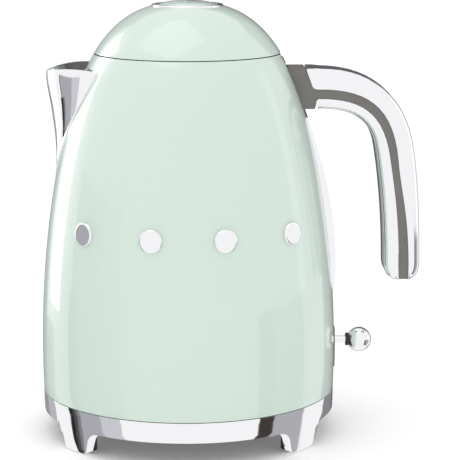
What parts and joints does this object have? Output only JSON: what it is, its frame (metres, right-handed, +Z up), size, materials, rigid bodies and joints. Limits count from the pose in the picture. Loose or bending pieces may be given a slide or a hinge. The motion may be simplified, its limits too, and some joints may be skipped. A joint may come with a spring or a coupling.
{
  "type": "electric jug kettle",
  "caption": "Cordless electric jug kettle with a domed push-button lid, beak spout, open hook handle, water window and ball-ended lever switch, on a round footed power base.",
  "frame": {"origin": "on the jug's vertical swivel axis, level with the soles of the base's rubber feet", "axes": "+Z up along the swivel axis; the spout points to -X and the handle, water window and switch to +X"},
  "size_m": [0.2169, 0.1686, 0.248],
  "materials": {
    "mint_enamel": "gloss enamel",
    "chrome_plate": "polished",
    "grey_plastic": "satin",
    "black_plastic": "fine grain",
    "stainless": "brushed",
    "screw_steel": "zinc plated",
    "silicone": "matt",
    "black_rubber": "matt",
    "clear_plastic": "clear",
    "filter_plastic": "satin",
    "aluminium": "cast",
    "contact_brass": "plain"
  },
  "bodies": {
    "base": {"base_skirt": "chrome_plate", "base_top_plate": "black_plastic", "base_bottom_plate": "black_plastic", "base_screws": "screw_steel", "cord_gland": "black_rubber", "foot_pads": "black_rubber", "connector_housing": "black_plastic"},
    "connector": {"connector_tower": "black_plastic", "tower_contacts": "contact_brass"},
    "lever": {"lever_hub": "black_plastic", "lever_stem": "chrome_plate", "lever_collar": "black_plastic", "lever_ball": "chrome_plate"},
    "lid": {"lid_shell": "mint_enamel", "lid_inner": "grey_plastic", "lid_gasket": "silicone", "lid_ring": "chrome_plate", "button_spring": "stainless", "latch_spring": "stainless"},
    "button": {"lid_button": "mint_enamel"},
    "latch": {"lid_latch": "grey_plastic"},
    "jug": {"jug_shell": "mint_enamel", "badge_studs": "chrome_plate", "spout": "chrome_plate", "window_frame": "chrome_plate", "handle_outer": "chrome_plate", "handle_inner": "chrome_plate", "handle_core": "grey_plastic", "neck_collar": "grey_plastic", "switch_bezel": "grey_plastic", "control_unit": "black_plastic", "bottom_cover": "black_plastic", "lever_bracket": "black_plastic", "heater_floor": "stainless", "filter_mesh": "stainless", "handle_bracket": "stainless", "hinge_pin": "stainless", "lever_pin": "stainless", "bimetal_discs": "stainless", "handle_screws": "screw_steel", "bottom_screws": "screw_steel", "spout_gasket": "silicone", "window_gasket": "silicone", "heater_seal": "silicone", "window_lens": "clear_plastic", "filter_frame": "filter_plastic", "steam_tube": "filter_plastic", "diffuser_plate": "aluminium", "heating_element": "aluminium", "jug_contacts": "contact_brass"}
  },
  "joints": [
    {"name": "jug_swivel", "type": "hinge", "parent": "base", "child": "connector", "pos_m": [0, 0, 0], "axis": [0, 0, 1], "continuous": true},
    {"name": "jug_lift", "type": "slide", "parent": "connector", "child": "jug", "axis": [0, 0, 1], "range_m": [0, 0.1]},
    {"name": "lid_hinge", "type": "hinge", "parent": "jug", "child": "lid", "pos_m": [0.0523, 0, 0.2132], "axis": [0, 1, 0], "range_deg": [0, 80]},
    {"name": "button_press", "type": "slide", "parent": "lid", "child": "button", "axis": [0, 0, -1], "range_m": [0, 0.003], "stiffness_N_per_m": 300, "springref_m": -0.003, "deforming": ["button_spring"]},
    {"name": "latch_slide", "type": "slide", "parent": "lid", "child": "latch", "axis": [1, 0, 0], "range_m": [0, 0.003], "deforming": ["latch_spring"]},
    {"name": "switch_lever", "type": "hinge", "parent": "jug", "child": "lever", "pos_m": [0.0609, 0, 0.0515], "axis": [0, 1, 0], "range_deg": [0, 22]}
  ],
  "couplings": [
    {"joint": "latch_slide", "follows": "button_press", "ratio": 1}
  ]
}
